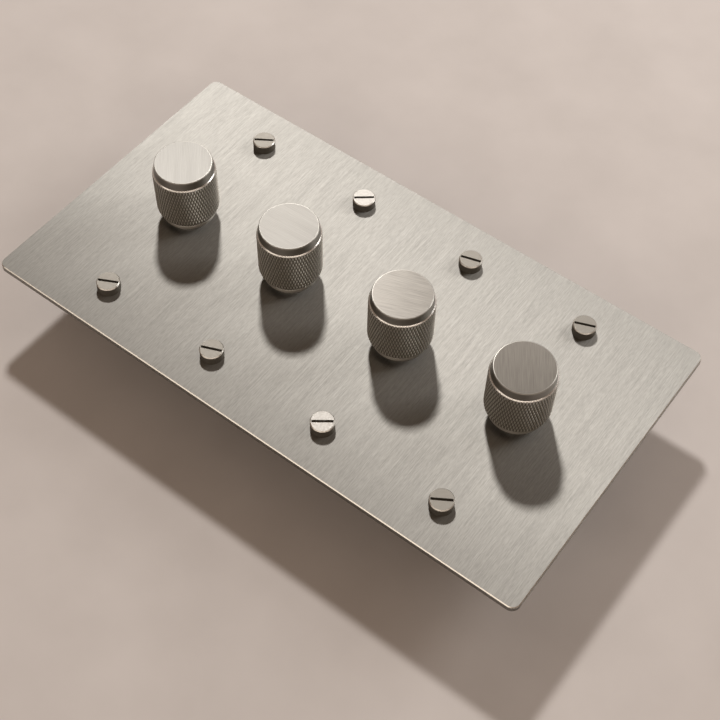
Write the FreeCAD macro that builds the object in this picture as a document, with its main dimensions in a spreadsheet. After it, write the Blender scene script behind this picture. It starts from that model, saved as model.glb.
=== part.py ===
import FreeCAD, Part
import os
import Sketcher
from FreeCAD import Rotation, Vector

# Four gang rotary dimmer on a flat metal face plate.
# Origin at the middle of the housings' backs, +Z out of the plate, +X along its length.

doc = FreeCAD.newDocument("rotary_dimmer")
sheet = doc.addObject("Spreadsheet::Sheet", "sizes")

# Driving dimensions in millimetres and degrees.
SIZES = {
    "gang_pitch": 46.04,
    "screw_spacing": 83.34,
    "plate_length": 213,
    "plate_width": 115,
    "plate_thick": 2.3,
    "plate_corner": 3,
    "plate_edge": 0.3,
    "recess_gap": 1.2,
    "recess_deep": 0.8,
    "recess_corner": 4,
    "strap_gap": 3.04,
    "strap_body": 72,
    "strap_end": 5.33,
    "strap_ear": 20,
    "strap_thick": 1.5,
    "strap_corner": 3,
    "strap_slot_length": 8,
    "strap_slot_corner": 2,
    "stud_dia": 3.5,
    "stud_length": 18,
    "stud_point": 1,
    "shank_step": 0.15,
    "shank_below": 0.5,
    "shank_gap": 0.2,
    "head_dia": 8.1,
    "head_high": 3.4,
    "head_edge": 0.3,
    "slot_end": 0.5,
    "slot_width": 0.95,
    "slot_deep": 1.1,
    "housing_gap": 4.04,
    "housing_length": 56,
    "housing_deep": 26.5,
    "housing_wall": 1.8,
    "housing_corner": 3,
    "housing_edge": 0.8,
    "wing_reach": 7,
    "wing_high": 12,
    "wing_side": 3,
    "barrier_thick": 1.5,
    "barrier_high": 5.5,
    "boss_dia": 6.6,
    "boss_sink": 0.7,
    "case_screw_dia": 2.7,
    "case_head_dia": 5.2,
    "case_head_high": 1.7,
    "case_head_sunk": 0.3,
    "case_slot": 0.8,
    "head_gap": 0.3,
    "rib_thick": 1.6,
    "rib_spacing": 28,
    "board_thick": 1.6,
    "board_gap": 0.3,
    "board_notch_gap": 1.4,
    "capacitor_long": 13,
    "capacitor_high": 10,
    "capacitor_gap": 1.7,
    "control_side": 18,
    "control_edge": 1,
    "control_wall": 1.4,
    "flange_thick": 2.2,
    "rotor_room_high": 4.8,
    "partition_thick": 1.2,
    "ledge": 2.4,
    "bush_dia": 10,
    "bush_proud": 0.4,
    "bush_gap": 0.2,
    "washer_edge": 0.5,
    "washer_thick": 0.8,
    "nut_flats": 14,
    "nut_thick": 2.2,
    "shaft_dia": 6,
    "shaft_flat": 2.4,
    "shaft_spare": 0.5,
    "shaft_collar_step": 0.2,
    "shaft_collar_thick": 1.7,
    "fit_gap": 0.05,
    "part_gap": 0.3,
    "tab_long": 1.6,
    "tab_width": 4,
    "tab_angle": 230,
    "plunger_gap": 0.6,
    "plunger_thick": 2,
    "push_travel": 1.5,
    "spring_pressed": 3.2,
    "spring_width": 4,
    "spring_thick": 0.3,
    "knob_dia": 22,
    "knob_bevel": 0.95,
    "knob_high": 23.9,
    "knob_lift": 2.5,
    "knob_shoulder": 3,
    "knob_rim": 0.4,
    "knob_cap": 6.7,
    "knob_collar_wall": 1,
    "knob_collar_high": 0.8,
    "knob_taper_high": 2.9,
    "hollow_gap": 0.52,
    "hollow_clear": 1.8,
    "insert_dia": 11,
    "insert_slit": 0.8,
    "insert_root": 4,
    "choke_gap": 1.05,
    "choke_wire": 4.8,
    "chip_width": 10,
    "chip_high": 4.4,
    "chip_gap": 1.8,
    "chip_tab_thick": 1.3,
    "chip_tab_length": 5,
    "chip_hole": 3.4,
    "lead_room": 2.4,
    "lead_width": 0.8,
    "lead_thick": 0.6,
    "lead_pitch": 2.54,
    "lead_drop": 2.2,
    "terminal_dia": 5.8,
    "terminal_high": 2,
    "terminal_shank": 3.2,
    "terminal_grip": 6,
    "terminal_slot": 1,
    "terminal_rim": 2,
    "clamp_long": 8,
    "clamp_lip": 1,
    "clamp_thick": 0.8,
}

for row, (alias, size) in enumerate(SIZES.items(), start=1):
    sheet.set(f"A{row}", alias)
    sheet.set(f"B{row}", str(size))
    sheet.setAlias(f"B{row}", alias)
doc.recompute()

# Heights along Z that several pieces share, as expressions on the sheet.
STRAP_BACK = "sizes.housing_deep"
STRAP_FRONT = f"({STRAP_BACK} + sizes.strap_thick)"
PLATE_BACK = f"({STRAP_FRONT} - sizes.recess_deep)"
PLATE_FRONT = f"({PLATE_BACK} + sizes.plate_thick)"
HEAD_FRONT = f"({PLATE_FRONT} + sizes.head_high)"
WASHER_FRONT = f"({PLATE_FRONT} + sizes.washer_thick)"
NUT_FRONT = f"({WASHER_FRONT} + sizes.nut_thick)"
BUSH_FRONT = f"({NUT_FRONT} + sizes.bush_proud)"
CASE_FRONT = f"({STRAP_BACK} - sizes.flange_thick)"
ROTOR_FLOOR = f"({CASE_FRONT} - sizes.rotor_room_high)"
PARTITION_BACK = f"({ROTOR_FLOOR} - sizes.partition_thick)"
COLLAR_BACK = f"({PARTITION_BACK} - sizes.part_gap - sizes.shaft_collar_thick)"
PLUNGER_BACK = f"({COLLAR_BACK} - sizes.plunger_thick)"
BOARD_FRONT = f"({PLUNGER_BACK} - sizes.push_travel - sizes.spring_pressed)"
BOARD_BACK = f"({BOARD_FRONT} - sizes.board_thick)"
KNOB_BACK = f"({PLATE_FRONT} + sizes.knob_lift)"
KNOB_FRONT = f"({KNOB_BACK} + sizes.knob_high)"
HOLLOW_FRONT = f"({BUSH_FRONT} + sizes.push_travel + sizes.hollow_clear)"
INSERT_FRONT = f"({KNOB_FRONT} - sizes.knob_cap)"
WING_BACK = "(sizes.housing_deep - sizes.wing_high)"
CLAMP_BACK = f"({WING_BACK} - sizes.clamp_thick)"

# Sizes that follow from others, as expressions on the sheet.
HOUSING_WIDTH = "(sizes.gang_pitch - sizes.housing_gap)"
ROOM_WIDTH = f"({HOUSING_WIDTH} - 2 * sizes.housing_wall)"
ROOM_LENGTH = "(sizes.housing_length - 2 * sizes.housing_wall)"
BOSS_INSET = "(sizes.boss_dia / 2 - sizes.boss_sink)"
BOSS_X = f"({ROOM_WIDTH} / 2 - {BOSS_INSET})"
BOSS_Y = f"({ROOM_LENGTH} / 2 - {BOSS_INSET})"
WING_Y = "(sizes.housing_length / 2 + sizes.wing_reach / 2)"
WING_WIDTH = f"({HOUSING_WIDTH} - 2 * sizes.wing_side)"
TERMINAL_PITCH = f"(({WING_WIDTH} - sizes.clamp_long) / 2 - sizes.terminal_rim)"
STRAP_WIDTH = "(sizes.gang_pitch - sizes.strap_gap)"
STRAP_LENGTH = "(sizes.screw_spacing + 2 * sizes.strap_end)"
SHANK_DIA = "(sizes.stud_dia + 2 * sizes.shank_step)"
SHANK_HOLE = f"({SHANK_DIA} + 2 * sizes.shank_gap)"
BUSH_HOLE = "(sizes.bush_dia + 2 * sizes.bush_gap)"
SHAFT_BORE = "(sizes.shaft_dia + 2 * sizes.fit_gap)"
ROTOR_ROOM_DIA = "(sizes.control_side - 2 * sizes.control_wall)"
ROTOR_DIA = f"({ROTOR_ROOM_DIA} - 2 * sizes.tab_long)"
PLUNGER_ROOM_DIA = f"({ROTOR_ROOM_DIA} - 2 * sizes.ledge)"
PLUNGER_DIA = f"({PLUNGER_ROOM_DIA} - 2 * sizes.plunger_gap)"
NUT_POINTS = "(sizes.nut_flats / cos(30))"
KNOB_HOLLOW_DIA = f"({NUT_POINTS} + 2 * sizes.hollow_gap)"
KNOB_COLLAR_DIA = f"({KNOB_HOLLOW_DIA} + 2 * sizes.knob_collar_wall)"

GANGS = 4
CLOSE = 0.001
SLOT_ANGLES = {1: (34, 39, 17, 22), -1: (27, 23, 37, 32)}


def value(expression):
    """The number that an expression on the sheet gives."""
    return float(sheet.evalExpression(expression))


def gang_x(gang):
    """Place of a gang along the plate, counted from 1."""
    return f"({gang - (GANGS + 1) / 2} * sizes.gang_pitch)"


def new_body(label, x="0", y="0", angle=0):
    """A body with its own label, whose place follows the sheet."""
    body = doc.addObject("PartDesign::Body", label)
    body.Label = label
    body.Placement.Rotation = Rotation(Vector(0, 0, 1), angle)
    body.setExpression("Placement.Base.x", x)
    body.setExpression("Placement.Base.y", y)
    return body


def new_sketch(body, name, height="0", role="XY_Plane"):
    """A sketch on one of the body's origin planes, lifted by a height."""
    sketch = body.newObject("Sketcher::SketchObject", name)
    plane = [item for item in body.Origin.OriginFeatures if item.Role == role][0]
    sketch.AttachmentSupport = [(plane, "")]
    sketch.MapMode = "FlatFace"
    sketch.setExpression("AttachmentOffset.Base.z", height)
    return sketch


def hold(sketch, kind, where, expression):
    """Ties one dimension of a sketch to the sheet."""
    index = sketch.addConstraint(Sketcher.Constraint(kind, *where, value(expression)))
    sketch.setExpression(f"Constraints[{index}]", expression)


def hold_point(sketch, geometry, end, x, y):
    """Ties a point of a sketch to two distances from its origin."""
    if x == "0":
        sketch.addConstraint(Sketcher.Constraint("PointOnObject", geometry, end, -2))
    else:
        hold(sketch, "DistanceX", (-1, 1, geometry, end), x)
    if y == "0":
        sketch.addConstraint(Sketcher.Constraint("PointOnObject", geometry, end, -1))
    else:
        hold(sketch, "DistanceY", (-1, 1, geometry, end), y)


def outline(sketch, corners):
    """A closed outline of straight sides through corners given as expressions."""
    points = [Vector(value(x), value(y), 0) for x, y in corners]
    first = sketch.GeometryCount
    count = len(points)
    for index, point in enumerate(points):
        sketch.addGeometry(Part.LineSegment(point, points[(index + 1) % count]), False)
    for index, (x, y) in enumerate(corners):
        side = first + index
        following = first + (index + 1) % count
        sketch.addConstraint(Sketcher.Constraint("Coincident", side, 2, following, 1))
        hold_point(sketch, side, 1, x, y)


def rectangle(sketch, length, width, x="0", y="0"):
    """A rectangle about a middle point, with its sides along the axes."""
    left, right = f"{x} - {length} / 2", f"{x} + {length} / 2"
    front, back = f"{y} - {width} / 2", f"{y} + {width} / 2"
    outline(sketch, [(left, front), (right, front), (right, back), (left, back)])


def circle(sketch, diameter, x="0", y="0"):
    """A circle about a point given as expressions."""
    radius = f"{diameter} / 2"
    centre = Vector(value(x), value(y), 0)
    index = sketch.addGeometry(Part.Circle(centre, Vector(0, 0, 1), value(radius)), False)
    hold_point(sketch, index, 3, x, y)
    hold(sketch, "Radius", (index,), radius)


def flatted_circle(sketch, radius, flat):
    """A circle with one flat side, at a distance below its centre."""
    size = value(radius)
    drop = value(flat)
    half = (size ** 2 - drop ** 2) ** 0.5
    left, right = Vector(-half, -drop, 0), Vector(half, -drop, 0)
    arc = sketch.addGeometry(Part.Arc(right, Vector(0, size, 0), left), False)
    side = sketch.addGeometry(Part.LineSegment(left, right), False)
    sketch.addConstraint(Sketcher.Constraint("Coincident", arc, 3, -1, 1))
    sketch.addConstraint(Sketcher.Constraint("Coincident", arc, 2, side, 1))
    sketch.addConstraint(Sketcher.Constraint("Coincident", side, 2, arc, 1))
    sketch.addConstraint(Sketcher.Constraint("Horizontal", side))
    hold(sketch, "Radius", (arc,), radius)
    hold(sketch, "DistanceY", (-1, 1, side, 1), f"-({flat})")


def pad(body, sketch, length):
    """Material added from a sketch towards +Z."""
    feature = body.newObject("PartDesign::Pad", f"{sketch.Name}_pad")
    feature.Profile = sketch
    feature.setExpression("Length", length)
    doc.recompute()
    return feature


def pocket(body, sketch, depth):
    """Material cut from a sketch towards +Z."""
    feature = body.newObject("PartDesign::Pocket", f"{sketch.Name}_pocket")
    feature.Profile = sketch
    feature.Reversed = True
    feature.setExpression("Length", depth)
    before = body.Shape.Volume
    doc.recompute()
    if body.Shape.Volume >= before:
        raise ValueError(f"{sketch.Name} cuts nothing")
    return feature


def turn(body, name, corners):
    """A turned solid from half sections given as radius and height."""
    sketch = new_sketch(body, name, role="XZ_Plane")
    outline(sketch, corners)
    feature = body.newObject("PartDesign::Revolution", f"{name}_turn")
    feature.Profile = sketch
    feature.ReferenceAxis = (sketch, ["V_Axis"])
    feature.Angle = 360
    doc.recompute()
    return feature


def round_edges(body, kind, size, chosen):
    """Fillets or chamfers the edges of the body that a test picks."""
    base = body.Tip
    edges = enumerate(base.Shape.Edges, start=1)
    names = [f"Edge{index}" for index, edge in edges if chosen(edge)]
    feature = body.newObject(f"PartDesign::{kind}", f"{body.Name}_{kind}")
    feature.Base = (base, names)
    feature.setExpression("Radius" if kind == "Fillet" else "Size", size)
    doc.recompute()
    return feature


def upright(edge):
    """A straight edge along Z."""
    box = edge.BoundBox
    return box.XLength < CLOSE and box.YLength < CLOSE


def upright_of(length):
    """Picks the straight edges along Z that have a length."""
    size = value(length)
    return lambda edge: upright(edge) and abs(edge.BoundBox.ZLength - size) < CLOSE


def at_height(height):
    """Picks the edges that lie in one level plane."""
    level = value(height)
    return lambda edge: max(abs(edge.BoundBox.ZMin - level), abs(edge.BoundBox.ZMax - level)) < CLOSE


def group(label, pieces):
    """Like fasteners kept together as separate solids."""
    compound = doc.addObject("Part::Compound", label)
    compound.Label = label
    compound.Links = pieces
    return compound


# Face plate with its recess for the straps, bush holes and screw holes.
def face_plate():
    body = new_body("face_plate")
    blank = new_sketch(body, "plate_blank", PLATE_BACK)
    rectangle(blank, "sizes.plate_length", "sizes.plate_width")
    pad(body, blank, "sizes.plate_thick")
    round_edges(body, "Fillet", "sizes.plate_corner", upright)
    round_edges(body, "Chamfer", "sizes.plate_edge", at_height(PLATE_FRONT))
    recess = new_sketch(body, "plate_recess", PLATE_BACK)
    span = f"({GANGS - 1} * sizes.gang_pitch + {STRAP_WIDTH})"
    rectangle(recess, f"({span} + 2 * sizes.recess_gap)", f"({STRAP_LENGTH} + 2 * sizes.recess_gap)")
    pocket(body, recess, "sizes.recess_deep")
    round_edges(body, "Fillet", "sizes.recess_corner", upright_of("sizes.recess_deep"))
    holes = new_sketch(body, "plate_holes", PLATE_BACK)
    for gang in range(1, GANGS + 1):
        circle(holes, BUSH_HOLE, gang_x(gang))
        for side in (-1, 1):
            circle(holes, SHANK_HOLE, gang_x(gang), f"{side} * sizes.screw_spacing / 2")
    pocket(body, holes, "sizes.plate_thick")
    return body


# Slotted screw through the plate and a strap, with its free end as a stud.
def plate_screw(gang, side):
    angle = SLOT_ANGLES[side][gang - 1]
    y = f"{side} * sizes.screw_spacing / 2"
    name = f"plate_screw_{gang}_{'back' if side > 0 else 'front'}"
    body = new_body(name, gang_x(gang), y, angle)
    head = "sizes.head_dia / 2"
    shank_end = f"{STRAP_BACK} - sizes.shank_below"
    tip = f"{STRAP_BACK} - sizes.stud_length"
    turn(body, f"{name}_section", [
        ("0", tip),
        ("sizes.stud_dia / 2 - sizes.stud_point / 2", tip),
        ("sizes.stud_dia / 2", f"{tip} + sizes.stud_point"),
        ("sizes.stud_dia / 2", shank_end),
        (f"{SHANK_DIA} / 2", shank_end),
        (f"{SHANK_DIA} / 2", PLATE_FRONT),
        (head, PLATE_FRONT),
        (head, f"{HEAD_FRONT} - sizes.head_edge"),
        (f"{head} - sizes.head_edge", HEAD_FRONT),
        ("0", HEAD_FRONT),
    ])
    slot = new_sketch(body, f"{name}_slot", f"{HEAD_FRONT} - sizes.slot_deep")
    rectangle(slot, "(sizes.head_dia - 2 * sizes.slot_end)", "sizes.slot_width")
    pocket(body, slot, "sizes.slot_deep")
    return body


# Metal mounting strap with ears, screw slots and a hole for the bush.
def mounting_strap(gang):
    body = new_body(f"mounting_strap_{gang}", gang_x(gang))
    wide, ear = f"{STRAP_WIDTH} / 2", "sizes.strap_ear / 2"
    waist, end = "sizes.strap_body / 2", f"{STRAP_LENGTH} / 2"
    shape = new_sketch(body, f"strap_{gang}_outline", STRAP_BACK)
    outline(shape, [
        (f"-{wide}", f"-{waist}"),
        (f"-{ear}", f"-{waist}"),
        (f"-{ear}", f"-{end}"),
        (ear, f"-{end}"),
        (ear, f"-{waist}"),
        (wide, f"-{waist}"),
        (wide, waist),
        (ear, waist),
        (ear, end),
        (f"-{ear}", end),
        (f"-{ear}", waist),
        (f"-{wide}", waist),
    ])
    pad(body, shape, "sizes.strap_thick")
    round_edges(body, "Fillet", "sizes.strap_corner", upright)
    holes = new_sketch(body, f"strap_{gang}_holes", STRAP_BACK)
    circle(holes, BUSH_HOLE)
    for side in (-1, 1):
        screw_y = f"{side} * sizes.screw_spacing / 2"
        rectangle(holes, "sizes.strap_slot_length", SHANK_HOLE, "0", screw_y)
        thread = "(sizes.case_screw_dia + 2 * sizes.fit_gap)"
        circle(holes, thread, f"{side} * {BOSS_X}", f"-{side} * {BOSS_Y}")
    pocket(body, holes, "sizes.strap_thick")
    slot_end = value("sizes.strap_slot_length / 2")
    round_edges(
        body,
        "Fillet",
        "sizes.strap_slot_corner",
        lambda edge: upright(edge) and abs(abs(edge.BoundBox.Center.x) - slot_end) < CLOSE,
    )
    return body


# Moulded housing, open to the strap, with a terminal wing and screw bosses.
def rear_housing(gang):
    body = new_body(f"rear_housing_{gang}", gang_x(gang))
    name = f"housing_{gang}"
    shell = new_sketch(body, f"{name}_shell")
    rectangle(shell, HOUSING_WIDTH, "sizes.housing_length")
    pad(body, shell, "sizes.housing_deep")
    round_edges(body, "Fillet", "sizes.housing_corner", upright)
    round_edges(body, "Chamfer", "sizes.housing_edge", at_height("0"))
    wing = new_sketch(body, f"{name}_wing", WING_BACK)
    rooted = "(sizes.wing_reach + sizes.housing_wall)"
    rooted_y = f"-({WING_Y} - sizes.housing_wall / 2)"
    rectangle(wing, WING_WIDTH, rooted, "0", rooted_y)
    pad(body, wing, "sizes.wing_high")
    barriers = new_sketch(body, f"{name}_barriers", f"{WING_BACK} - sizes.barrier_high")
    for side in (-1, 1):
        rectangle(barriers, "sizes.barrier_thick", rooted, f"{side} * {TERMINAL_PITCH} / 2", rooted_y)
    pad(body, barriers, "sizes.barrier_high")
    room = new_sketch(body, f"{name}_room", "sizes.housing_wall")
    rectangle(room, ROOM_WIDTH, ROOM_LENGTH)
    pocket(body, room, "(sizes.housing_deep - sizes.housing_wall)")
    ribs = new_sketch(body, f"{name}_ribs", "sizes.housing_wall")
    for side in (-1, 1):
        rectangle(ribs, ROOM_WIDTH, "sizes.rib_thick", "0", f"{side} * sizes.rib_spacing / 2")
    pad(body, ribs, f"{BOARD_BACK} - sizes.housing_wall")
    bosses = new_sketch(body, f"{name}_bosses", "sizes.housing_wall")
    for side in (-1, 1):
        circle(bosses, "sizes.boss_dia", f"{side} * {BOSS_X}", f"-{side} * {BOSS_Y}")
    pad(body, bosses, "(sizes.housing_deep - sizes.housing_wall)")
    bores = new_sketch(body, f"{name}_bores")
    seats = new_sketch(body, f"{name}_seats")
    for side in (-1, 1):
        place = (f"{side} * {BOSS_X}", f"-{side} * {BOSS_Y}")
        circle(bores, "(sizes.case_screw_dia + 2 * sizes.shank_gap)", *place)
        circle(seats, "(sizes.case_head_dia + 2 * sizes.head_gap)", *place)
    pocket(body, bores, "sizes.housing_deep")
    pocket(body, seats, "(sizes.case_head_high + sizes.case_head_sunk)")
    threads = new_sketch(body, f"{name}_threads", WING_BACK)
    for place in (-1, 0, 1):
        hole = "(sizes.terminal_shank + 2 * sizes.fit_gap)"
        circle(threads, hole, f"{place} * {TERMINAL_PITCH}", f"-{WING_Y}")
    pocket(body, threads, "(sizes.terminal_grip + sizes.part_gap)")
    return body


# Screw that holds a housing to its strap, let into the housing's back.
def housing_screw(gang, side):
    name = f"housing_screw_{gang}_{'right' if side > 0 else 'left'}"
    x = f"{gang_x(gang)} + {side} * {BOSS_X}"
    body = new_body(name, x, f"-{side} * {BOSS_Y}")
    under = "sizes.case_head_sunk + sizes.case_head_high"
    turn(body, f"{name}_section", [
        ("0", "sizes.case_head_sunk"),
        ("sizes.case_head_dia / 2", "sizes.case_head_sunk"),
        ("sizes.case_head_dia / 2", under),
        ("sizes.case_screw_dia / 2", under),
        ("sizes.case_screw_dia / 2", STRAP_FRONT),
        ("0", STRAP_FRONT),
    ])
    slot = new_sketch(body, f"{name}_slot", "sizes.case_head_sunk")
    rectangle(slot, "(sizes.case_head_dia + sizes.case_slot)", "sizes.case_slot")
    pocket(body, slot, "sizes.case_slot")
    return body


# Brass screw of a wiring terminal, with its head towards the back.
def terminal_screw(gang, place):
    name = f"terminal_screw_{gang}_{place + 2}"
    x = f"{gang_x(gang)} + {place} * {TERMINAL_PITCH}"
    body = new_body(name, x, f"-{WING_Y}")
    head_back = f"{CLAMP_BACK} - sizes.terminal_high"
    turn(body, f"{name}_section", [
        ("0", head_back),
        ("sizes.terminal_dia / 2", head_back),
        ("sizes.terminal_dia / 2", CLAMP_BACK),
        ("sizes.terminal_shank / 2", CLAMP_BACK),
        ("sizes.terminal_shank / 2", f"{WING_BACK} + sizes.terminal_grip"),
        ("0", f"{WING_BACK} + sizes.terminal_grip"),
    ])
    slot = new_sketch(body, f"{name}_slot", head_back)
    rectangle(slot, "(sizes.terminal_dia + sizes.terminal_slot)", "sizes.terminal_slot")
    pocket(body, slot, "sizes.terminal_slot")
    return body


# Brass clamping plate under a terminal screw's head.
def terminal_plate(gang, place):
    name = f"terminal_plate_{gang}_{place + 2}"
    x = f"{gang_x(gang)} + {place} * {TERMINAL_PITCH}"
    body = new_body(name, x, f"-{WING_Y}")
    blank = new_sketch(body, f"{name}_blank", CLAMP_BACK)
    rectangle(blank, "sizes.clamp_long", "(sizes.wing_reach - sizes.clamp_lip)")
    circle(blank, "(sizes.terminal_shank + 2 * sizes.fit_gap)")
    pad(body, blank, "sizes.clamp_thick")
    return body


# Circuit board with the capacitor that is soldered to it.
def circuit_board(gang):
    body = new_body(f"circuit_board_{gang}", gang_x(gang))
    shape = new_sketch(body, f"board_{gang}_outline", BOARD_BACK)
    wide = f"({ROOM_WIDTH} / 2 - sizes.board_gap)"
    long = f"({ROOM_LENGTH} / 2 - sizes.board_gap)"
    notch = f"({BOSS_INSET} + sizes.boss_dia / 2 + sizes.board_notch_gap - sizes.board_gap)"
    outline(shape, [
        (f"-{wide}", f"-{long}"),
        (f"{wide} - {notch}", f"-{long}"),
        (f"{wide} - {notch}", f"-{long} + {notch}"),
        (wide, f"-{long} + {notch}"),
        (wide, long),
        (f"-{wide} + {notch}", long),
        (f"-{wide} + {notch}", f"{long} - {notch}"),
        (f"-{wide}", f"{long} - {notch}"),
    ])
    pad(body, shape, "sizes.board_thick")
    capacitor = new_sketch(body, f"board_{gang}_capacitor", BOARD_FRONT)
    room = f"({wide} - sizes.control_side / 2)"
    middle = f"({wide} + sizes.control_side / 2) / 2"
    rectangle(capacitor, f"({room} - 2 * sizes.capacitor_gap)", "sizes.capacitor_long", middle)
    pad(body, capacitor, "sizes.capacitor_high")
    return body


# Case of the rotary control, with the rotor's room, its stop and the plunger's room.
def control_case(gang):
    body = new_body(f"control_case_{gang}", gang_x(gang))
    name = f"case_{gang}"
    block = new_sketch(body, f"{name}_block", BOARD_FRONT)
    rectangle(block, "sizes.control_side", "sizes.control_side")
    pad(body, block, f"{CASE_FRONT} - {BOARD_FRONT}")
    round_edges(body, "Fillet", "sizes.control_edge", upright)
    room = new_sketch(body, f"{name}_rotor_room", ROTOR_FLOOR)
    circle(room, ROTOR_ROOM_DIA)
    pocket(body, room, "sizes.rotor_room_high")
    stop = new_sketch(body, f"{name}_stop", ROTOR_FLOOR)
    outer = f"({ROTOR_ROOM_DIA} / 2 + sizes.control_wall / 2)"
    inner = f"({ROTOR_DIA} / 2 + sizes.part_gap)"
    rectangle(stop, "sizes.tab_width", f"({outer} - {inner})", "0", f"-({outer} + {inner}) / 2")
    pad(body, stop, "sizes.rotor_room_high")
    shaft_hole = new_sketch(body, f"{name}_shaft_hole", BOARD_FRONT)
    circle(shaft_hole, "(sizes.shaft_dia + 2 * sizes.bush_gap)")
    pocket(body, shaft_hole, f"{CASE_FRONT} - {BOARD_FRONT}")
    plunger_room = new_sketch(body, f"{name}_plunger_room", BOARD_FRONT)
    circle(plunger_room, PLUNGER_ROOM_DIA)
    pocket(body, plunger_room, f"{PARTITION_BACK} - {BOARD_FRONT}")
    return body


# Metal front of the rotary control, whose bush goes through the strap and plate.
def control_bush(gang):
    body = new_body(f"control_bush_{gang}", gang_x(gang))
    name = f"bush_{gang}"
    flange = new_sketch(body, f"{name}_flange", CASE_FRONT)
    rectangle(flange, "sizes.control_side", "sizes.control_side")
    pad(body, flange, "sizes.flange_thick")
    round_edges(body, "Fillet", "sizes.control_edge", upright)
    neck = new_sketch(body, f"{name}_neck", STRAP_BACK)
    circle(neck, "sizes.bush_dia")
    pad(body, neck, f"{BUSH_FRONT} - {STRAP_BACK}")
    bore = new_sketch(body, f"{name}_bore", CASE_FRONT)
    circle(bore, SHAFT_BORE)
    pocket(body, bore, f"{BUSH_FRONT} - {CASE_FRONT}")
    return body


# Thin hexagon nut that clamps the plate and strap to the bush.
def bush_nut(gang):
    name = f"bush_nut_{gang}"
    body = new_body(name, gang_x(gang))
    flats = new_sketch(body, f"{name}_flats", WASHER_FRONT)
    half = "sizes.nut_flats / 2"
    corner = f"{NUT_POINTS} / 4"
    point = f"{NUT_POINTS} / 2"
    outline(flats, [
        (point, "0"),
        (corner, half),
        (f"-{corner}", half),
        (f"-{point}", "0"),
        (f"-{corner}", f"-{half}"),
        (corner, f"-{half}"),
    ])
    circle(flats, "(sizes.bush_dia + 2 * sizes.fit_gap)")
    pad(body, flats, "sizes.nut_thick")
    return body


# Washer between the plate and the nut.
def bush_washer(gang):
    name = f"bush_washer_{gang}"
    body = new_body(name, gang_x(gang))
    ring = new_sketch(body, f"{name}_ring", PLATE_FRONT)
    circle(ring, "(sizes.nut_flats + 2 * sizes.washer_edge)")
    circle(ring, BUSH_HOLE)
    pad(body, ring, "sizes.washer_thick")
    return body


# Rotor that wipes the track, turned by the flat of the shaft that slides in it.
def wiper_rotor(gang):
    body = new_body(f"wiper_rotor_{gang}", gang_x(gang))
    name = f"rotor_{gang}"
    thick = "(sizes.rotor_room_high - 2 * sizes.part_gap)"
    back = f"({ROTOR_FLOOR} + sizes.part_gap)"
    hub = new_sketch(body, f"{name}_hub", back)
    circle(hub, ROTOR_DIA)
    pad(body, hub, thick)
    tab = new_sketch(body, f"{name}_tab", back)
    tab.AttachmentOffset.Rotation = Rotation(Vector(0, 0, 1), 0)
    tab.setExpression("AttachmentOffset.Rotation.Angle", "sizes.tab_angle * 1 deg")
    outer = f"({ROTOR_ROOM_DIA} / 2 - sizes.part_gap)"
    inner = f"({ROTOR_DIA} / 2 - sizes.tab_long)"
    rectangle(tab, f"({outer} - {inner})", "sizes.tab_width", f"({outer} + {inner}) / 2")
    pad(body, tab, thick)
    bore = new_sketch(body, f"{name}_bore", back)
    flatted_circle(bore, "(sizes.shaft_dia / 2 + sizes.fit_gap)", "(sizes.shaft_flat + sizes.fit_gap)")
    pocket(body, bore, thick)
    return body


# Shaft with a flat along it and a collar that keeps it in the case.
def control_shaft(gang):
    body = new_body(f"control_shaft_{gang}", gang_x(gang))
    name = f"shaft_{gang}"
    rod = new_sketch(body, f"{name}_rod", COLLAR_BACK)
    flatted_circle(rod, "(sizes.shaft_dia / 2)", "sizes.shaft_flat")
    pad(body, rod, f"{INSERT_FRONT} - sizes.shaft_spare - {COLLAR_BACK}")
    collar = new_sketch(body, f"{name}_collar", COLLAR_BACK)
    circle(collar, f"({PLUNGER_DIA} - 2 * sizes.shaft_collar_step)")
    pad(body, collar, "sizes.shaft_collar_thick")
    return body


# Plunger under the shaft, which works the switch when the knob is pushed.
def switch_plunger(gang):
    body = new_body(f"switch_plunger_{gang}", gang_x(gang))
    name = f"plunger_{gang}"
    disc = new_sketch(body, f"{name}_disc", PLUNGER_BACK)
    circle(disc, PLUNGER_DIA)
    pad(body, disc, "sizes.plunger_thick")
    return body


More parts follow.
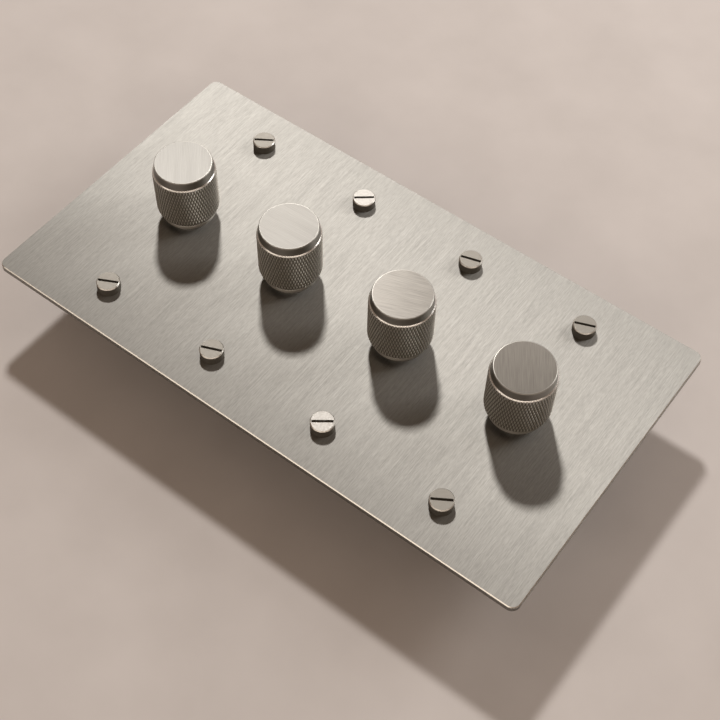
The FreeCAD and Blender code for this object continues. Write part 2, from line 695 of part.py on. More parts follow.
# Bowed leaf spring under the plunger, standing on the board.
def return_spring(gang):
    body = new_body(f"return_spring_{gang}", gang_x(gang))
    name = f"spring_{gang}"
    sketch = new_sketch(body, f"{name}_bow", "-sizes.spring_width / 2", "XZ_Plane")
    half = f"({PLUNGER_DIA} / 2 - sizes.shaft_collar_step)"
    top = f"({PLUNGER_BACK} - sizes.fit_gap)"
    left, right = -value(half), value(half)
    low, high = value(BOARD_FRONT), value(top)
    thick = value("sizes.spring_thick")
    outer = Part.Arc(Vector(right, low, 0), Vector(0, high, 0), Vector(left, low, 0))
    inner = Part.Arc(
        Vector(right - thick, low, 0), Vector(0, high - thick, 0), Vector(left + thick, low, 0)
    )
    over = sketch.addGeometry(outer, False)
    foot_left = sketch.addGeometry(
        Part.LineSegment(Vector(left, low, 0), Vector(left + thick, low, 0)), False
    )
    under = sketch.addGeometry(inner, False)
    foot_right = sketch.addGeometry(
        Part.LineSegment(Vector(right - thick, low, 0), Vector(right, low, 0)), False
    )
    crest = sketch.addGeometry(Part.Point(Vector(0, high, 0)), True)
    hollow = sketch.addGeometry(Part.Point(Vector(0, high - thick, 0)), True)
    sketch.addConstraint(Sketcher.Constraint("Coincident", over, 2, foot_left, 1))
    sketch.addConstraint(Sketcher.Constraint("Coincident", foot_left, 2, under, 2))
    sketch.addConstraint(Sketcher.Constraint("Coincident", under, 1, foot_right, 1))
    sketch.addConstraint(Sketcher.Constraint("Coincident", foot_right, 2, over, 1))
    hold_point(sketch, foot_left, 1, f"-{half}", BOARD_FRONT)
    hold_point(sketch, foot_left, 2, f"-{half} + sizes.spring_thick", BOARD_FRONT)
    hold_point(sketch, foot_right, 1, f"{half} - sizes.spring_thick", BOARD_FRONT)
    hold_point(sketch, foot_right, 2, half, BOARD_FRONT)
    sketch.addConstraint(Sketcher.Constraint("PointOnObject", crest, 1, over))
    sketch.addConstraint(Sketcher.Constraint("PointOnObject", hollow, 1, under))
    hold_point(sketch, crest, 1, "0", top)
    hold_point(sketch, hollow, 1, "0", f"{top} - sizes.spring_thick")
    pad(body, sketch, "sizes.spring_width")
    return body


# Power switching chip, its tab flat on the strap and its leads down to the board.
def power_transistor(gang):
    body = new_body(f"power_transistor_{gang}", gang_x(gang))
    name = f"chip_{gang}"
    start = "(sizes.control_side / 2 + sizes.lead_room)"
    end = f"({ROOM_LENGTH} / 2 - sizes.chip_gap - sizes.chip_tab_length)"
    block = new_sketch(body, f"{name}_block", f"{STRAP_BACK} - sizes.chip_high")
    rectangle(block, "sizes.chip_width", f"({end} - {start})", "0", f"({end} + {start}) / 2")
    pad(body, block, "sizes.chip_high")
    tab = new_sketch(body, f"{name}_tab", f"{STRAP_BACK} - sizes.chip_tab_thick")
    tab_middle = f"({end} + sizes.chip_tab_length / 2)"
    rectangle(tab, "sizes.chip_width", "sizes.chip_tab_length", "0", tab_middle)
    circle(tab, "sizes.chip_hole", "0", tab_middle)
    pad(body, tab, "sizes.chip_tab_thick")
    reach = "(2 * sizes.lead_thick)"
    lead_front = f"({STRAP_BACK} - sizes.lead_drop)"
    necks = new_sketch(body, f"{name}_necks", f"{lead_front} - sizes.lead_thick")
    legs = new_sketch(body, f"{name}_legs", BOARD_FRONT)
    for place in (-1, 0, 1):
        x = f"{place} * sizes.lead_pitch"
        neck_y = f"({start} - {reach} / 2)"
        leg_y = f"({start} - {reach} + sizes.lead_thick / 2)"
        rectangle(necks, "sizes.lead_width", reach, x, neck_y)
        rectangle(legs, "sizes.lead_width", "sizes.lead_thick", x, leg_y)
    pad(body, necks, "sizes.lead_thick")
    pad(body, legs, f"{lead_front} - {BOARD_FRONT}")
    return body


# Wound ring of the choke, lying on the board.
def choke_coil(gang):
    ring = doc.addObject("Part::Torus", f"choke_coil_{gang}")
    ring.Label = f"choke_coil_{gang}"
    room = f"({ROOM_LENGTH} / 2 - sizes.board_gap - sizes.control_side / 2)"
    middle = f"({ROOM_LENGTH} / 2 - sizes.board_gap + sizes.control_side / 2) / 2"
    ring.setExpression("Radius1", f"({room} - 2 * sizes.choke_gap - sizes.choke_wire) / 2")
    ring.setExpression("Radius2", "sizes.choke_wire / 2")
    ring.setExpression("Placement.Base.x", gang_x(gang))
    ring.setExpression("Placement.Base.y", f"-{middle}")
    ring.setExpression("Placement.Base.z", f"{BOARD_FRONT} + sizes.choke_wire / 2")
    return ring


# Turned metal knob, hollow over the nut and bored for the insert.
def knob(gang):
    body = new_body(f"knob_{gang}", gang_x(gang))
    rim = "sizes.knob_rim"
    hollow = f"{KNOB_HOLLOW_DIA} / 2"
    collar = f"{KNOB_COLLAR_DIA} / 2"
    collar_front = f"{KNOB_BACK} + sizes.knob_collar_high"
    top = "(sizes.knob_dia / 2 - sizes.knob_bevel)"
    turn(body, f"knob_{gang}_section", [
        (hollow, KNOB_BACK),
        (f"{collar} - {rim}", KNOB_BACK),
        (collar, f"{KNOB_BACK} + {rim}"),
        (collar, collar_front),
        ("sizes.knob_dia / 2", f"{collar_front} + sizes.knob_taper_high"),
        ("sizes.knob_dia / 2", f"{KNOB_FRONT} - sizes.knob_shoulder"),
        (top, f"{KNOB_FRONT} - {rim}"),
        (f"{top} - {rim}", KNOB_FRONT),
        ("0", KNOB_FRONT),
        ("0", INSERT_FRONT),
        ("sizes.insert_dia / 2", INSERT_FRONT),
        ("sizes.insert_dia / 2", HOLLOW_FRONT),
        (hollow, HOLLOW_FRONT),
    ])
    return body


# Split insert that grips the shaft inside the knob.
def knob_insert(gang):
    body = new_body(f"knob_insert_{gang}", gang_x(gang))
    name = f"insert_{gang}"
    barrel = new_sketch(body, f"{name}_barrel", HOLLOW_FRONT)
    circle(barrel, "sizes.insert_dia")
    flatted_circle(barrel, "(sizes.shaft_dia / 2)", "sizes.shaft_flat")
    pad(body, barrel, f"{INSERT_FRONT} - {HOLLOW_FRONT}")
    slit = new_sketch(body, f"{name}_slit", HOLLOW_FRONT)
    rectangle(slit, "(sizes.insert_dia + sizes.insert_slit)", "sizes.insert_slit")
    pocket(body, slit, f"{INSERT_FRONT} - {HOLLOW_FRONT} - sizes.insert_root")
    return body


nodes = [face_plate()]
plate_screws = []
housing_screws = []
terminal_screws = []
terminal_plates = []
bush_nuts = []
bush_washers = []
for number in range(1, GANGS + 1):
    for make in (
        mounting_strap,
        rear_housing,
        circuit_board,
        control_case,
        control_bush,
        wiper_rotor,
        control_shaft,
        switch_plunger,
        return_spring,
        power_transistor,
        choke_coil,
        knob,
        knob_insert,
    ):
        nodes.append(make(number))
    bush_nuts.append(bush_nut(number))
    bush_washers.append(bush_washer(number))
    for end in (-1, 1):
        plate_screws.append(plate_screw(number, end))
        housing_screws.append(housing_screw(number, end))
    for seat in (-1, 0, 1):
        terminal_screws.append(terminal_screw(number, seat))
        terminal_plates.append(terminal_plate(number, seat))

nodes.append(group("plate_screws", plate_screws))
nodes.append(group("housing_screws", housing_screws))
nodes.append(group("terminal_screws", terminal_screws))
nodes.append(group("terminal_plates", terminal_plates))
nodes.append(group("bush_nuts", bush_nuts))
nodes.append(group("bush_washers", bush_washers))
doc.recompute()

for item in doc.Objects:
    if {"Invalid", "Error"} & set(item.State):
        raise ValueError(f"{item.Label} failed: {item.State}")
for node in nodes:
    if node.Shape.isNull() or not node.Shape.isValid():
        raise ValueError(f"{node.Label} has no valid shape")

os.makedirs("parts", exist_ok=True)
for node in nodes:
    node.Shape.exportStep(f"parts/{node.Label}.step")
    print(node.Label, len(node.Shape.Solids), round(node.Shape.Volume, 2))
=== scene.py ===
import math
from collections import namedtuple

import bpy
import numpy as np
from mathutils import Matrix, Vector


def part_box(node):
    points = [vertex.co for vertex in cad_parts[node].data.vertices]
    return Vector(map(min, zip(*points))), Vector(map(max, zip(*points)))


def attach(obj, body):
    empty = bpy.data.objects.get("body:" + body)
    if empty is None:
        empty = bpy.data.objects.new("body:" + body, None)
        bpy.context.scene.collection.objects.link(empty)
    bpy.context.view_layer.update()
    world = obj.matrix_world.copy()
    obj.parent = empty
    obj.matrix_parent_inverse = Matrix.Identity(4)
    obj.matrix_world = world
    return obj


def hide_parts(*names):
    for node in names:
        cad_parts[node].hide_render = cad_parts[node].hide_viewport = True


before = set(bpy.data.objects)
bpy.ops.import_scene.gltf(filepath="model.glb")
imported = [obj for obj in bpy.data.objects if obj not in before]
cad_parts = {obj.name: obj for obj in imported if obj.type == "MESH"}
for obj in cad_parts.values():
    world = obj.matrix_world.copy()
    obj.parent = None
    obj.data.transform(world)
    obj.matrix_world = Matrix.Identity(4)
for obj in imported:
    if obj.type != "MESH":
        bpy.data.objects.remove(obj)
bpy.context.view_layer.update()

MM = 0.001
GANGS = (1, 2, 3, 4)

# Camera, fitted to the plate's corners, the knobs and the screws.
CAMERA_PLACE = Vector((0.16168, -0.21566, 0.38754))
CAMERA_AIM = Vector((0.0169, -0.01373, 0.0295))
CAMERA_ROLL = math.radians(1.6)
CAMERA_LENS = 66.178
CAMERA_SENSOR = 36
CAMERA_CLIP = 0.01

# The point that the lamps shine on, and half the floor's width.
LAMP_AIM = Vector((0, 0, 0.03))
FLOOR_HALF = 3

# Knob sizes that the frame's boxes don't give. The soft ones are roundings, and the hold is a
# narrow ring between the rim and the flat top.
HOLLOW_GAP = 0.52 * MM
COLLAR_WALL = 1 * MM
COLLAR_HIGH = 1.6 * MM
NOTCH_DEEP = 0.15 * MM
NOTCH_HIGH = 0.1 * MM
TAPER_HIGH = 2.1 * MM
KNOB_LEDGE = 0.55 * MM
KNOB_SHOULDER = 3 * MM
KNOB_BEVEL = 0.95 * MM
KNOB_RIM = 0.4 * MM
KNOB_HOLD = 0.08 * MM
KNOB_SOFT = 0.1 * MM
FOOT_SOFT = 0.08 * MM

# Angle from a flat of the bush nuts, which faces along Y, to a corner.
NUT_HALF = math.radians(30)

# The knurl is KNURL_STARTS grooves each way, and each moves on by one spacing in a height of
# KNURL_PITCH. Its crests are flat from KNURL_LAND of the way from a groove to the middle between
# two. KNURL_FOOT is the share of its depth at the foot of the taper.
KNURL_STARTS = 68
KNURL_PITCH = 3.0 * MM
KNURL_DEEP = 0.3 * MM
KNURL_LAND = 0.82
KNURL_FOOT = 0.45
KNURL_GAP = 0.12 * MM

# How finely a knob's skin is divided, with rows at shares of its bevel and of its flat top.
KNURL_FINE = 4
KNOB_COLUMNS = KNURL_STARTS * 2 * KNURL_FINE
SOFT_STEPS = 3
LEDGE_ROWS = 7
BEVEL_SHARES = (0.04, 0.5, 0.96)
RIM_ROWS = 7
TOP_SHARES = (1, 0.6, 0.2)
SHARP_ANGLE = math.radians(32)

# Material slots of a knob.
TURNED_SLOT, KNURL_SLOT, TOP_SLOT, LEDGE_SLOT, RIM_SLOT, COLLAR_SLOT = range(6)

# Direction of the brush lines on each knob's top in degrees, and a painted light for each top in red,
# green and blue: one metal is painted lighter or darker by how each top meets the lamps.
TOP_TURNS = {1: -50, 2: 2, 3: 20, 4: -57}
TOP_PAINTED_LIGHT = {
    1: (0.98, 0.98, 0.98),
    2: (1.07, 1.07, 1.07),
    3: (1.58, 1.57, 1.56),
    4: (0.57, 0.54, 0.51),
}

# Places of the two screws whose heads are painted brighter as a highlight, and how far round them that goes.
HIGHLIGHT_SCREWS = ((-23.02 * MM, 41.67 * MM, 32 * MM), (23.02 * MM, -41.67 * MM, 32 * MM))
HIGHLIGHT_REACH = 7 * MM

# Heights of the normals of upright faces, and of the faces of small bevels, which mark where painted shade
# and painted highlights go.
UPRIGHT = (-0.2, 0.4)
BEVELLED = (0.4, 0.9)

Row = namedtuple("Row", "height radii crests slot")


class Surface:
    """A node material that is put together one node at a time."""

    def __init__(self, name):
        self.material = bpy.data.materials.new(name)
        self.material.use_nodes = True
        self.tree = self.material.node_tree
        self.shader = self.tree.nodes["Principled BSDF"]

    def node(self, kind, **settings):
        made = self.tree.nodes.new(kind)
        for key, setting in settings.items():
            setattr(made, key, setting)
        return made

    def link(self, start, end):
        self.tree.links.new(start, end)

    def set(self, **values):
        for key, given in values.items():
            self.shader.inputs[key.replace("_", " ")].default_value = given

    def math(self, operation, first, second):
        """The result of an operation on two values, each of which is a number or a socket."""
        made = self.node("ShaderNodeMath", operation=operation)
        for socket, given in zip(made.inputs, (first, second)):
            if isinstance(given, (int, float)):
                socket.default_value = given
            else:
                self.link(given, socket)
        return made.outputs[0]

    def mixed(self, first, second, share):
        """The share of the first value with the rest of the second one."""
        return self.math("ADD", self.math("MULTIPLY", first, share), self.math("MULTIPLY", second, 1 - share))

    def noise(self, size, detail, turn=0):
        """Noise whose grains have a size in metres along X, Y and Z, turned by some degrees about Z."""
        turned = self.node("ShaderNodeMapping")
        turned.inputs["Rotation"].default_value = (0, 0, math.radians(turn))
        self.link(self.node("ShaderNodeTexCoord").outputs["Object"], turned.inputs["Vector"])
        mapping = self.node("ShaderNodeMapping")
        mapping.inputs["Scale"].default_value = [1 / length for length in size]
        self.link(turned.outputs[0], mapping.inputs["Vector"])
        made = self.node("ShaderNodeTexNoise")
        made.inputs["Scale"].default_value = 1
        made.inputs["Detail"].default_value = detail
        self.link(mapping.outputs[0], made.inputs["Vector"])
        return made.outputs["Fac"]

    def between(self, amount, low, high, start=0.3, end=0.7):
        """A value that runs from low to high as the amount goes from start to end."""
        made = self.node("ShaderNodeMapRange")
        made.inputs["From Min"].default_value = start
        made.inputs["From Max"].default_value = end
        made.inputs["To Min"].default_value = low
        made.inputs["To Max"].default_value = high
        self.link(amount, made.inputs["Value"])
        return made.outputs[0]

    def shades(self, amount, dark, light, start=0.3, end=0.7):
        """A colour that runs from dark to light as the amount goes from start to end."""
        ramp = self.node("ShaderNodeValToRGB")
        ramp.color_ramp.elements[0].position = start
        ramp.color_ramp.elements[0].color = (*dark, 1)
        ramp.color_ramp.elements[1].position = end
        ramp.color_ramp.elements[1].color = (*light, 1)
        self.link(amount, ramp.inputs["Fac"])
        return ramp.outputs["Color"]

    def facing(self, low, high):
        """1 where the height of a face's normal is between low and high, else 0."""
        leaning = self.node("ShaderNodeSeparateXYZ")
        self.link(self.node("ShaderNodeNewGeometry").outputs["True Normal"], leaning.inputs[0])
        over = self.math("GREATER_THAN", leaning.outputs["Z"], low)
        return self.math("MULTIPLY", over, self.math("LESS_THAN", leaning.outputs["Z"], high))

    def near(self, places, reach):
        """1 within reach of one of the places in the scene, else 0."""
        where = self.node("ShaderNodeNewGeometry").outputs["Position"]
        total = 0
        for place in places:
            apart = self.node("ShaderNodeVectorMath", operation="DISTANCE")
            self.link(where, apart.inputs[0])
            apart.inputs[1].default_value = place
            total = self.math("ADD", self.math("LESS_THAN", apart.outputs["Value"], reach), total)
        return total

    def blend(self, amount, start, end, kind):
        """A colour or value that goes over from start to a fixed end."""
        made = self.node("ShaderNodeMix", data_type=kind)
        sockets = [socket for socket in made.inputs if socket.enabled]
        self.link(amount, sockets[0])
        self.link(start, sockets[1])
        sockets[2].default_value = end
        return next(socket for socket in made.outputs if socket.enabled)

    def blend_tone(self, amount, start, end):
        return self.blend(amount, start, (*end, 1), "RGBA")

    def blend_value(self, amount, start, end):
        return self.blend(amount, start, end, "FLOAT")

    def colours(self, amount, dark, light, start=0.3, end=0.7):
        self.link(self.shades(amount, dark, light, start, end), self.shader.inputs["Base Color"])

    def roughness(self, amount, low, high):
        self.link(self.between(amount, low, high), self.shader.inputs["Roughness"])

    def bump(self, amount, height):
        made = self.node("ShaderNodeBump")
        made.inputs["Strength"].default_value = 1
        made.inputs["Distance"].default_value = height
        self.link(amount, made.inputs["Height"])
        self.link(made.outputs[0], self.shader.inputs["Normal"])

    def brush_across(self, direction):
        """Spreads the highlight along a direction of the object, across the brush lines."""
        turned = self.node(
            "ShaderNodeVectorTransform", vector_type="VECTOR", convert_from="OBJECT", convert_to="WORLD"
        )
        turned.inputs[0].default_value = direction
        self.link(turned.outputs[0], self.shader.inputs["Tangent"])


def plain_metal(name, dark, light, rough):
    """A worked metal with a fine grain."""
    surface = Surface(name)
    surface.set(Metallic=1)
    fine = surface.noise((0.6 * MM,) * 3, detail=3)
    broad = surface.noise((12 * MM,) * 3, detail=2)
    surface.colours(surface.mixed(fine, broad, 0.5), dark, light)
    surface.roughness(fine, rough - 0.05, rough + 0.07)
    surface.bump(fine, 0.004 * MM)
    return surface.material


def moulded(name, dark, light, rough):
    """A moulded plastic with a spark-eroded grain."""
    surface = Surface(name)
    fine = surface.noise((0.25 * MM,) * 3, detail=2)
    broad = surface.noise((18 * MM,) * 3, detail=2)
    surface.colours(broad, dark, light)
    surface.roughness(fine, rough - 0.06, rough + 0.06)
    surface.bump(fine, 0.02 * MM)
    return surface.material


def screw_heads():
    """Screw metal whose upright sides are painted dark as shade and whose bevels are painted bright as a
    highlight. Two heads are painted brighter as a highlight.
    """
    surface = Surface("screw_metal")
    surface.set(Metallic=1)
    fine = surface.noise((0.5 * MM,) * 3, detail=3)
    edge = surface.facing(*BEVELLED)
    tone = surface.shades(fine, dark=(0.29, 0.275, 0.25), light=(0.36, 0.342, 0.312))
    # Painted highlight on two heads, painted shade on the upright sides, painted highlight on the bevels.
    tone = surface.blend_tone(surface.near(HIGHLIGHT_SCREWS, HIGHLIGHT_REACH), tone, (0.56, 0.545, 0.52))
    tone = surface.blend_tone(surface.facing(*UPRIGHT), tone, (0.26, 0.245, 0.22))
    tone = surface.blend_tone(edge, tone, (0.78, 0.76, 0.72))
    dull = surface.blend_value(edge, surface.between(fine, low=0.56, high=0.68), 0.36)
    surface.link(tone, surface.shader.inputs["Base Color"])
    surface.link(dull, surface.shader.inputs["Roughness"])
    surface.bump(fine, 0.004 * MM)
    return surface.material


def brushed_plate():
    """Nickel brushed along the short side, with long and short lines, and a polished cut edge that is also
    painted bright as a highlight.
    """
    surface = Surface("brushed_nickel")
    surface.set(Metallic=1, Anisotropic=0.865)
    surface.brush_across((1, 0, 0))
    long = surface.noise((0.34 * MM, 24 * MM, 5 * MM), detail=2, turn=-0.5)
    grain = surface.noise((0.26 * MM, 2.4 * MM, 0.8 * MM), detail=1)
    lines = surface.mixed(long, grain, 0.5)
    gloss = surface.noise((0.26 * MM, 11 * MM, 3 * MM), detail=2, turn=1)
    edge = surface.facing(*BEVELLED)
    tone = surface.shades(lines, dark=(0.33, 0.322, 0.304), light=(0.415, 0.404, 0.381), start=0.36, end=0.64)
    # The bevelled edge is painted bright as a highlight on top of its real polish.
    tone = surface.blend_tone(edge, tone, (0.80, 0.78, 0.74))
    dull = surface.between(gloss, low=0.578, high=0.624, start=0.34, end=0.66)
    dull = surface.blend_value(edge, dull, 0.22)
    surface.link(tone, surface.shader.inputs["Base Color"])
    surface.link(dull, surface.shader.inputs["Roughness"])
    surface.bump(lines, 0.001 * MM)
    return surface.material


def brushed_top(gang):
    """A knob's top, brushed along one direction of the knob."""
    surface = Surface(f"knob_top_{gang}")
    surface.set(Metallic=1, Anisotropic=0.95)
    surface.brush_across((1, 0, 0))
    fine = surface.noise((0.22 * MM, 8 * MM, 8 * MM), detail=2)
    broad = surface.noise((2 * MM, 30 * MM, 30 * MM), detail=1)
    # Each top's colours are scaled by its painted light, which makes lit and shaded copies of one metal.
    dark = [shade * tone for shade, tone in zip((0.29, 0.281, 0.266), TOP_PAINTED_LIGHT[gang])]
    light = [shade * tone for shade, tone in zip((0.43, 0.42, 0.4), TOP_PAINTED_LIGHT[gang])]
    surface.colours(surface.mixed(fine, broad, 0.85), dark, light, start=0.36, end=0.64)
    surface.roughness(fine, 0.54, 0.62)
    surface.bump(fine, 0.001 * MM)
    return surface.material


def turned_side(name, dark, light, low, high):
    """A turned band of a knob, with fine rings from the lathe and a roughness from low to high."""
    surface = Surface(name)
    surface.set(Metallic=1, Anisotropic=0.5, Anisotropic_Rotation=0.25)
    tangent = surface.node("ShaderNodeTangent", direction_type="RADIAL", axis="Z")
    surface.link(tangent.outputs[0], surface.shader.inputs["Tangent"])
    rings = surface.noise((40 * MM, 40 * MM, 0.09 * MM), detail=2)
    surface.colours(rings, dark, light)
    surface.roughness(rings, low, high)
    surface.bump(rings, 0.003 * MM)
    return surface.material


def knurled_side():
    """The knurled barrel, painted darker down in its grooves as shade."""
    surface = Surface("knob_knurl")
    surface.set(Metallic=1)
    height = surface.node("ShaderNodeAttribute", attribute_name="crest").outputs["Fac"]
    # Painted shade: the colour goes dark down in the grooves and light on the crests.
    surface.colours(height, dark=(0.15, 0.141, 0.125), light=(1.0, 0.98, 0.93), start=0.08, end=0.62)
    surface.roughness(surface.noise((0.3 * MM,) * 3, detail=2), 0.26, 0.36)
    return surface.material


class Knob:
    """A knob's radii and its heights over its own foot, which stands at a place in the frame."""

    def __init__(self, gang):
        low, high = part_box(f"knob_{gang}")
        insert_low, insert_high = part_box(f"knob_insert_{gang}")
        nut_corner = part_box("bush_nuts")[1].y / math.cos(NUT_HALF)
        self.place = ((low.x + high.x) / 2, (low.y + high.y) / 2, low.z)
        self.bore = (insert_high.x - insert_low.x) / 2
        self.hollow = nut_corner + HOLLOW_GAP
        self.collar = self.hollow + COLLAR_WALL
        self.wide = (high.x - low.x) / 2
        self.top = self.wide - KNOB_BEVEL
        self.ceiling = insert_low.z - low.z
        self.bore_end = insert_high.z - low.z
        self.tall = high.z - low.z
        self.shoulder = self.tall - KNOB_SHOULDER
        self.ledge = self.shoulder - KNOB_LEDGE


def rounded(corners):
    """A profile through corners of radius, height and rounding, with arcs at the rounded ones."""
    points = []
    for index, (radius, height, soft) in enumerate(corners):
        corner = np.array((radius, height))
        if soft == 0:
            points.append(corner)
            continue
        before = np.array(corners[index - 1][:2]) - corner
        after = np.array(corners[index + 1][:2]) - corner
        start = corner + before / np.linalg.norm(before) * soft
        end = corner + after / np.linalg.norm(after) * soft
        for share in np.arange(SOFT_STEPS + 1) / SOFT_STEPS:
            points.append((1 - share) ** 2 * start + 2 * share * (1 - share) * corner + share ** 2 * end)
    return points


def smooth_row(radius, height, slot):
    return Row(height, np.full(KNOB_COLUMNS, radius), np.ones(KNOB_COLUMNS), slot)


def rows_under(knob):
    """Rows from the bore's end through the hollow over the nut to the collar and its notch."""
    profile = rounded([
        (knob.bore, knob.bore_end, 0),
        (knob.bore, knob.ceiling, KNOB_SOFT),
        (knob.hollow, knob.ceiling, 0),
        (knob.hollow, 0, KNOB_SOFT),
        (knob.collar - KNOB_RIM, 0, FOOT_SOFT),
        (knob.collar, KNOB_RIM, KNOB_SOFT),
        (knob.collar, COLLAR_HIGH, KNOB_SOFT),
        (knob.collar - NOTCH_DEEP, COLLAR_HIGH + NOTCH_HIGH, 0),
    ])
    return [smooth_row(radius, height, COLLAR_SLOT) for radius, height in profile]


def knurl_height(around, along):
    """Height of the crossed grooves, from 0 in a groove to 1 on a crest."""
    first = around + along
    second = around - along
    near = np.minimum(np.abs(first - np.round(first)), np.abs(second - np.round(second))) * 2
    return np.minimum(near / KNURL_LAND, 1)


def knurled_row(knob, height, slot):
    """A row of the knurl, shallower on the taper and cut off by the ledge's cone."""
    reach = min(1, (height - COLLAR_HIGH) / TAPER_HIGH)
    base = knob.collar + (knob.wide - knob.collar) * reach
    deep = KNURL_DEEP * (KNURL_FOOT + (1 - KNURL_FOOT) * reach)
    crests = knurl_height(np.arange(KNOB_COLUMNS) / (2 * KNURL_FINE), height / KNURL_PITCH)
    cone = knob.wide + knob.ledge - height
    return Row(height, np.minimum(base - deep * (1 - crests), cone), crests, slot)


def rows_knurled(knob):
    """Rows of the knurled taper and barrel, and of the ledge up to the shoulder."""
    step = KNURL_PITCH / 2 / KNURL_FINE
    heights = np.arange(COLLAR_HIGH + KNURL_GAP, knob.ledge, step)
    *ledge, shoulder = np.linspace(knob.ledge, knob.shoulder, LEDGE_ROWS)
    rows = [knurled_row(knob, height, KNURL_SLOT) for height in heights]
    rows += [knurled_row(knob, height, LEDGE_SLOT) for height in ledge]
    return [*rows, knurled_row(knob, shoulder, TURNED_SLOT)]


def rows_over(knob):
    """Rows of the bevel over the shoulder, the rounded rim and the flat top."""
    start = knob.wide - KNOB_LEDGE
    rise = knob.tall - KNOB_RIM - knob.shoulder
    rows = [
        smooth_row(start + (knob.top - start) * share, knob.shoulder + rise * share, TURNED_SLOT)
        for share in BEVEL_SHARES
    ]
    for turn in np.linspace(0, math.pi / 2, RIM_ROWS)[:-1]:
        radius = knob.top - KNOB_RIM * (1 - math.cos(turn))
        rows.append(smooth_row(radius, knob.tall - KNOB_RIM * (1 - math.sin(turn)), RIM_SLOT))
    flat = knob.top - KNOB_RIM
    rows.append(smooth_row(flat, knob.tall, TOP_SLOT))
    rows += [smooth_row((flat - KNOB_HOLD) * share, knob.tall, TOP_SLOT) for share in TOP_SHARES]
    return rows


def knob_faces(rows):
    """Faces of a knob's skin, the slot of each, and whether it is smooth."""
    first_knurled = [row.slot for row in rows].index(KNURL_SLOT)
    bottom_centre = len(rows) * KNOB_COLUMNS
    top_centre = bottom_centre + 1
    last = (len(rows) - 1) * KNOB_COLUMNS
    faces, slots, smooth = [], [], []
    for number, row in enumerate(rows[:-1]):
        knurled = row.slot in (KNURL_SLOT, LEDGE_SLOT)
        low = number * KNOB_COLUMNS
        high = low + KNOB_COLUMNS
        for column in range(KNOB_COLUMNS):
            following = (column + 1) % KNOB_COLUMNS
            a, b, c, d = low + column, low + following, high + following, high + column
            if not knurled:
                made = [(a, b, c, d)]
            elif (column + number - first_knurled) % 2 == 0:
                made = [(a, b, c), (a, c, d)]
            else:
                made = [(a, b, d), (b, c, d)]
            faces += made
            slots += [row.slot] * len(made)
            smooth += [not knurled] * len(made)
    for column in range(KNOB_COLUMNS):
        following = (column + 1) % KNOB_COLUMNS
        faces.append((following, column, bottom_centre))
        faces.append((last + column, last + following, top_centre))
        slots += [TURNED_SLOT, TOP_SLOT]
        smooth += [True, True]
    return faces, slots, smooth


def knurled_knob(gang, materials):
    """One knob as a single turned skin, knurled over its barrel and lower taper."""
    knob = Knob(gang)
    rows = rows_under(knob) + rows_knurled(knob) + rows_over(knob)
    angles = np.arange(KNOB_COLUMNS) * 2 * math.pi / KNOB_COLUMNS
    vertices = [
        (radius * math.cos(angle), radius * math.sin(angle), row.height)
        for row in rows
        for radius, angle in zip(row.radii, angles)
    ]
    vertices += [(0, 0, knob.bore_end), (0, 0, knob.tall)]
    faces, slots, smooth = knob_faces(rows)
    name = f"knurled_knob_{gang}"
    mesh = bpy.data.meshes.new(name)
    mesh.from_pydata(vertices, [], faces)
    for material in materials:
        mesh.materials.append(material)
    crests = mesh.attributes.new("crest", "FLOAT", "POINT")
    crests.data.foreach_set("value", np.concatenate([*(row.crests for row in rows), (1, 1)]))
    mesh.polygons.foreach_set("material_index", slots)
    mesh.polygons.foreach_set("use_smooth", smooth)
    mesh.set_sharp_from_angle(angle=SHARP_ANGLE)
    mesh.update()
    piece = bpy.data.objects.new(name, mesh)
    bpy.context.scene.collection.objects.link(piece)
    piece.location = knob.place
    piece.rotation_euler.z = math.radians(TOP_TURNS[gang] - 90)
    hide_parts(f"knob_{gang}")
    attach(piece, f"knob_{gang}")


def knobs():
    """The four knobs. Each turned band has a dark and a light colour and a range of roughness."""
    turned = turned_side("knob_turned", (0.27, 0.26, 0.24), (0.36, 0.35, 0.33), 0.28, 0.36)
    knurl = knurled_side()
    # The ledge and the rim are cut edges that are also painted lighter as highlights, and the collar is
    # painted light as the reflection of the lit plate.
    ledge = turned_side("knob_ledge", (0.93, 0.92, 0.90), (1.0, 0.99, 0.97), 0.24, 0.30)
    collar = turned_side("knob_collar", (0.80, 0.785, 0.75), (0.90, 0.885, 0.85), 0.29, 0.35)
    rim = turned_side("knob_rim", (0.40, 0.39, 0.365), (0.50, 0.49, 0.46), 0.38, 0.46)
    for gang in GANGS:
        knurled_knob(gang, (turned, knurl, brushed_top(gang), ledge, rim, collar))


def dress(names, material):
    """Gives CAD nodes a material in all their slots."""
    for name in names:
        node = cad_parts[name]
        node.data.materials.clear()
        node.data.materials.append(material)


def each(name):
    """The names of a node that every gang has."""
    return [f"{name}_{gang}" for gang in GANGS]


def lamp(name, direction, distance, size, power, colour):
    """A soft rectangular lamp that shines on the part from a direction."""
    data = bpy.data.lights.new(name, "AREA")
    data.shape = "RECTANGLE"
    data.size, data.size_y = size
    data.energy = power
    data.color = colour
    made = bpy.data.objects.new(name, data)
    made.location = LAMP_AIM + Vector(direction).normalized() * distance
    made.rotation_euler = (LAMP_AIM - made.location).to_track_quat("-Z", "Y").to_euler()
    bpy.context.scene.collection.objects.link(made)


def surroundings(colour, strength):
    """An even, warm light from all sides."""
    world = bpy.data.worlds.new("studio")
    world.use_nodes = True
    background = world.node_tree.nodes["Background"]
    background.inputs["Color"].default_value = (*colour, 1)
    background.inputs["Strength"].default_value = strength
    bpy.context.scene.world = world


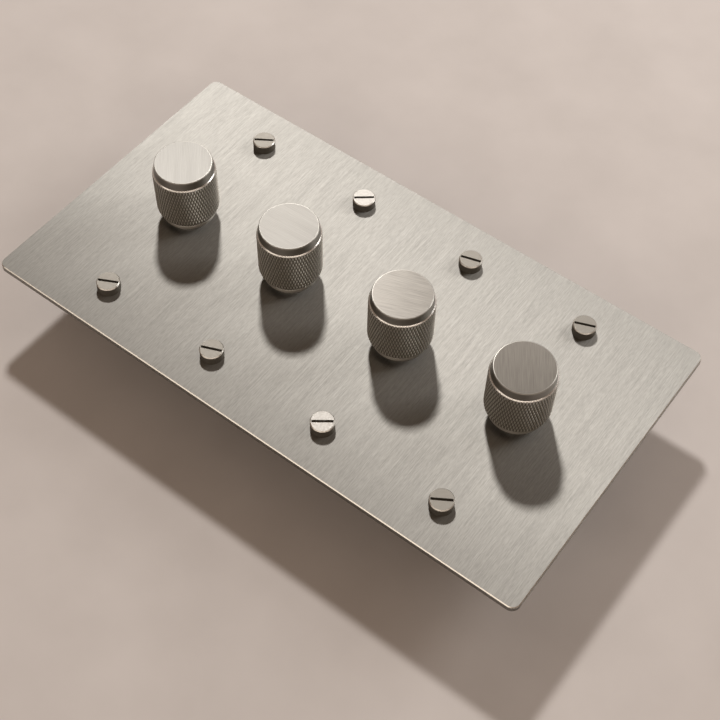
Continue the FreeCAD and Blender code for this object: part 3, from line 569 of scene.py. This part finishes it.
def camera():
    """The camera, from where the photo was taken."""
    data = bpy.data.cameras.new("camera")
    data.lens = CAMERA_LENS
    data.sensor_width = CAMERA_SENSOR
    data.clip_start = CAMERA_CLIP
    made = bpy.data.objects.new("camera", data)
    made.location = CAMERA_PLACE
    forward = (CAMERA_AIM - CAMERA_PLACE).normalized()
    turn = forward.to_track_quat("-Z", "Y").to_matrix().to_4x4()
    made.rotation_euler = (turn @ Matrix.Rotation(CAMERA_ROLL, 4, "Z")).to_euler()
    bpy.context.scene.collection.objects.link(made)
    bpy.context.scene.camera = made


def floor():
    """A plain pale floor under the part."""
    corners = [(x * FLOOR_HALF, y * FLOOR_HALF, 0) for x, y in ((-1, -1), (1, -1), (1, 1), (-1, 1))]
    mesh = bpy.data.meshes.new("floor")
    mesh.from_pydata(corners, [], [(0, 1, 2, 3)])
    surface = Surface("pale_floor")
    surface.set(Roughness=0.85)
    mottle = surface.noise((35 * MM,) * 3, detail=4)
    surface.colours(mottle, dark=(0.65, 0.602, 0.582), light=(0.71, 0.66, 0.64))
    mesh.materials.append(surface.material)
    made = bpy.data.objects.new("floor", mesh)
    bpy.context.scene.collection.objects.link(made)


knobs()
dress(["face_plate"], brushed_plate())
dress(["plate_screws"], screw_heads())

TERMINALS = ["terminal_screws", "terminal_plates"]
FASTENERS = ["housing_screws", "bush_nuts", "bush_washers"]

# Nodes, with their material's kind, name, dark colour, light colour and roughness.
OTHER_NODES = (
    (each("mounting_strap"), plain_metal, "strap_metal", (0.52, 0.53, 0.53), (0.68, 0.69, 0.69), 0.42),
    (each("rear_housing"), moulded, "housing_plastic", (0.030, 0.030, 0.032), (0.045, 0.045, 0.048), 0.52),
    (each("circuit_board"), moulded, "board_laminate", (0.05, 0.16, 0.08), (0.07, 0.21, 0.11), 0.38),
    (each("control_case"), moulded, "control_plastic", (0.05, 0.05, 0.05), (0.08, 0.08, 0.08), 0.45),
    (each("control_bush"), plain_metal, "bush_metal", (0.55, 0.53, 0.46), (0.70, 0.68, 0.60), 0.30),
    (each("wiper_rotor"), moulded, "rotor_plastic", (0.62, 0.60, 0.54), (0.70, 0.68, 0.62), 0.40),
    (each("control_shaft"), plain_metal, "shaft_metal", (0.60, 0.60, 0.58), (0.74, 0.74, 0.72), 0.24),
    (each("knob_insert"), moulded, "insert_plastic", (0.60, 0.58, 0.52), (0.66, 0.64, 0.58), 0.42),
    (each("switch_plunger"), moulded, "plunger_plastic", (0.55, 0.20, 0.06), (0.62, 0.24, 0.08), 0.42),
    (each("return_spring"), plain_metal, "spring_metal", (0.58, 0.58, 0.57), (0.72, 0.72, 0.71), 0.22),
    (each("power_transistor"), moulded, "chip_plastic", (0.025, 0.025, 0.027), (0.04, 0.04, 0.042), 0.5),
    (each("choke_coil"), plain_metal, "choke_wire", (0.55, 0.20, 0.08), (0.72, 0.30, 0.12), 0.30),
    (TERMINALS, plain_metal, "terminal_brass", (0.62, 0.45, 0.18), (0.76, 0.58, 0.27), 0.30),
    (FASTENERS, plain_metal, "fastener_steel", (0.56, 0.56, 0.55), (0.70, 0.70, 0.69), 0.30),
)
for nodes, kind, name, dark, light, rough in OTHER_NODES:
    dress(nodes, kind(name, dark, light, rough))

camera()
floor()

# Each lamp's name, direction, distance and size in metres, power in watts and colour.
lamp("key", (-0.439, 0.499, 0.747), 1.8, (0.14, 0.14), 18.5, (1.0, 0.965, 0.92))
lamp("right", (0.50, 0.75, 0.50), 0.92, (0.4, 0.4), 2.3, (1.0, 0.98, 0.95))
lamp("front", (-0.155, -0.877, 0.454), 1.5, (1.5, 0.42), 2.4, (1.0, 0.89, 0.77))
lamp("side", (0.67, -0.47, 0.57), 1.5, (1.95, 0.25), 2.7, (1.0, 0.89, 0.77))
surroundings((1.0, 0.72, 0.52), 0.172)
bpy.context.scene.view_settings.view_transform = "Standard"
